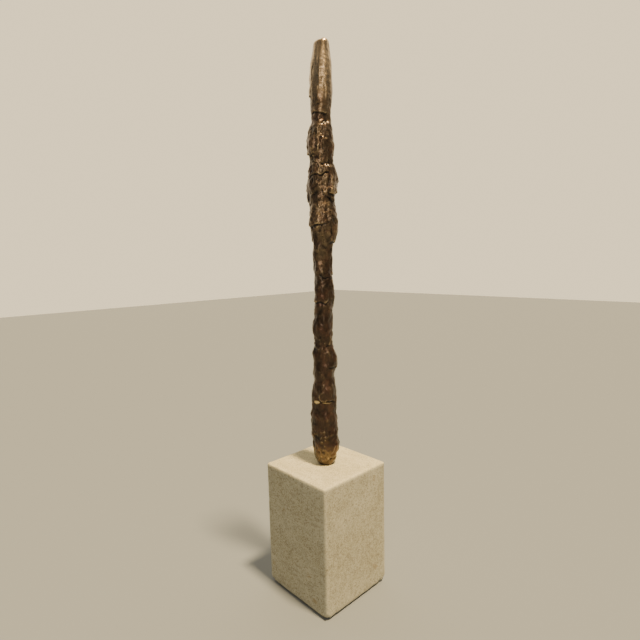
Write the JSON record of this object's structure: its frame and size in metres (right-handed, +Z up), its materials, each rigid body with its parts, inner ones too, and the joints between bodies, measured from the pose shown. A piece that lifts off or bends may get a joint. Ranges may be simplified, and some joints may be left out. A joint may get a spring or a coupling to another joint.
{
  "type": "display plinth",
  "caption": "Square honed-stone display plinth carrying a slender rough-cast bronze upright on a central stud, with a nut recess and felt pads underneath.",
  "frame": {"origin": "on the table, under the middle of the block: the centre of the base of the part's box", "axes": "+Z up along the stud and the upright; +X towards the block's right face; -Y towards its front face"},
  "size_m": [0.1, 0.1, 0.627],
  "materials": {
    "limestone": "honed, matte",
    "bronze": "rough cast, brown patina, waxed",
    "stud_steel": "rolled thread, satin",
    "fibre": "matte vulcanised fibre",
    "zinc_steel": "zinc plated",
    "spring_steel": "plain spring steel",
    "nut_steel": "zinc plated",
    "nylon": "semi-matte",
    "felt": "pressed wool felt"
  },
  "bodies": {
    "plinth": {"stone_block": "limestone", "cushion_washer": "fibre", "load_washer": "zinc_steel", "foot_pad_front_left": "felt", "foot_pad_front_right": "felt", "foot_pad_back_left": "felt", "foot_pad_back_right": "felt"},
    "upright": {"bronze_upright": "bronze", "mounting_stud": "stud_steel", "spring_washer": "spring_steel", "lock_nut": "nut_steel", "nut_insert": "nylon"}
  },
  "joints": [
    {"name": "upright_turn", "type": "hinge", "parent": "plinth", "child": "upright", "pos_m": [0, 0, 0.152], "axis": [0, 0, 1], "continuous": true}
  ]
}
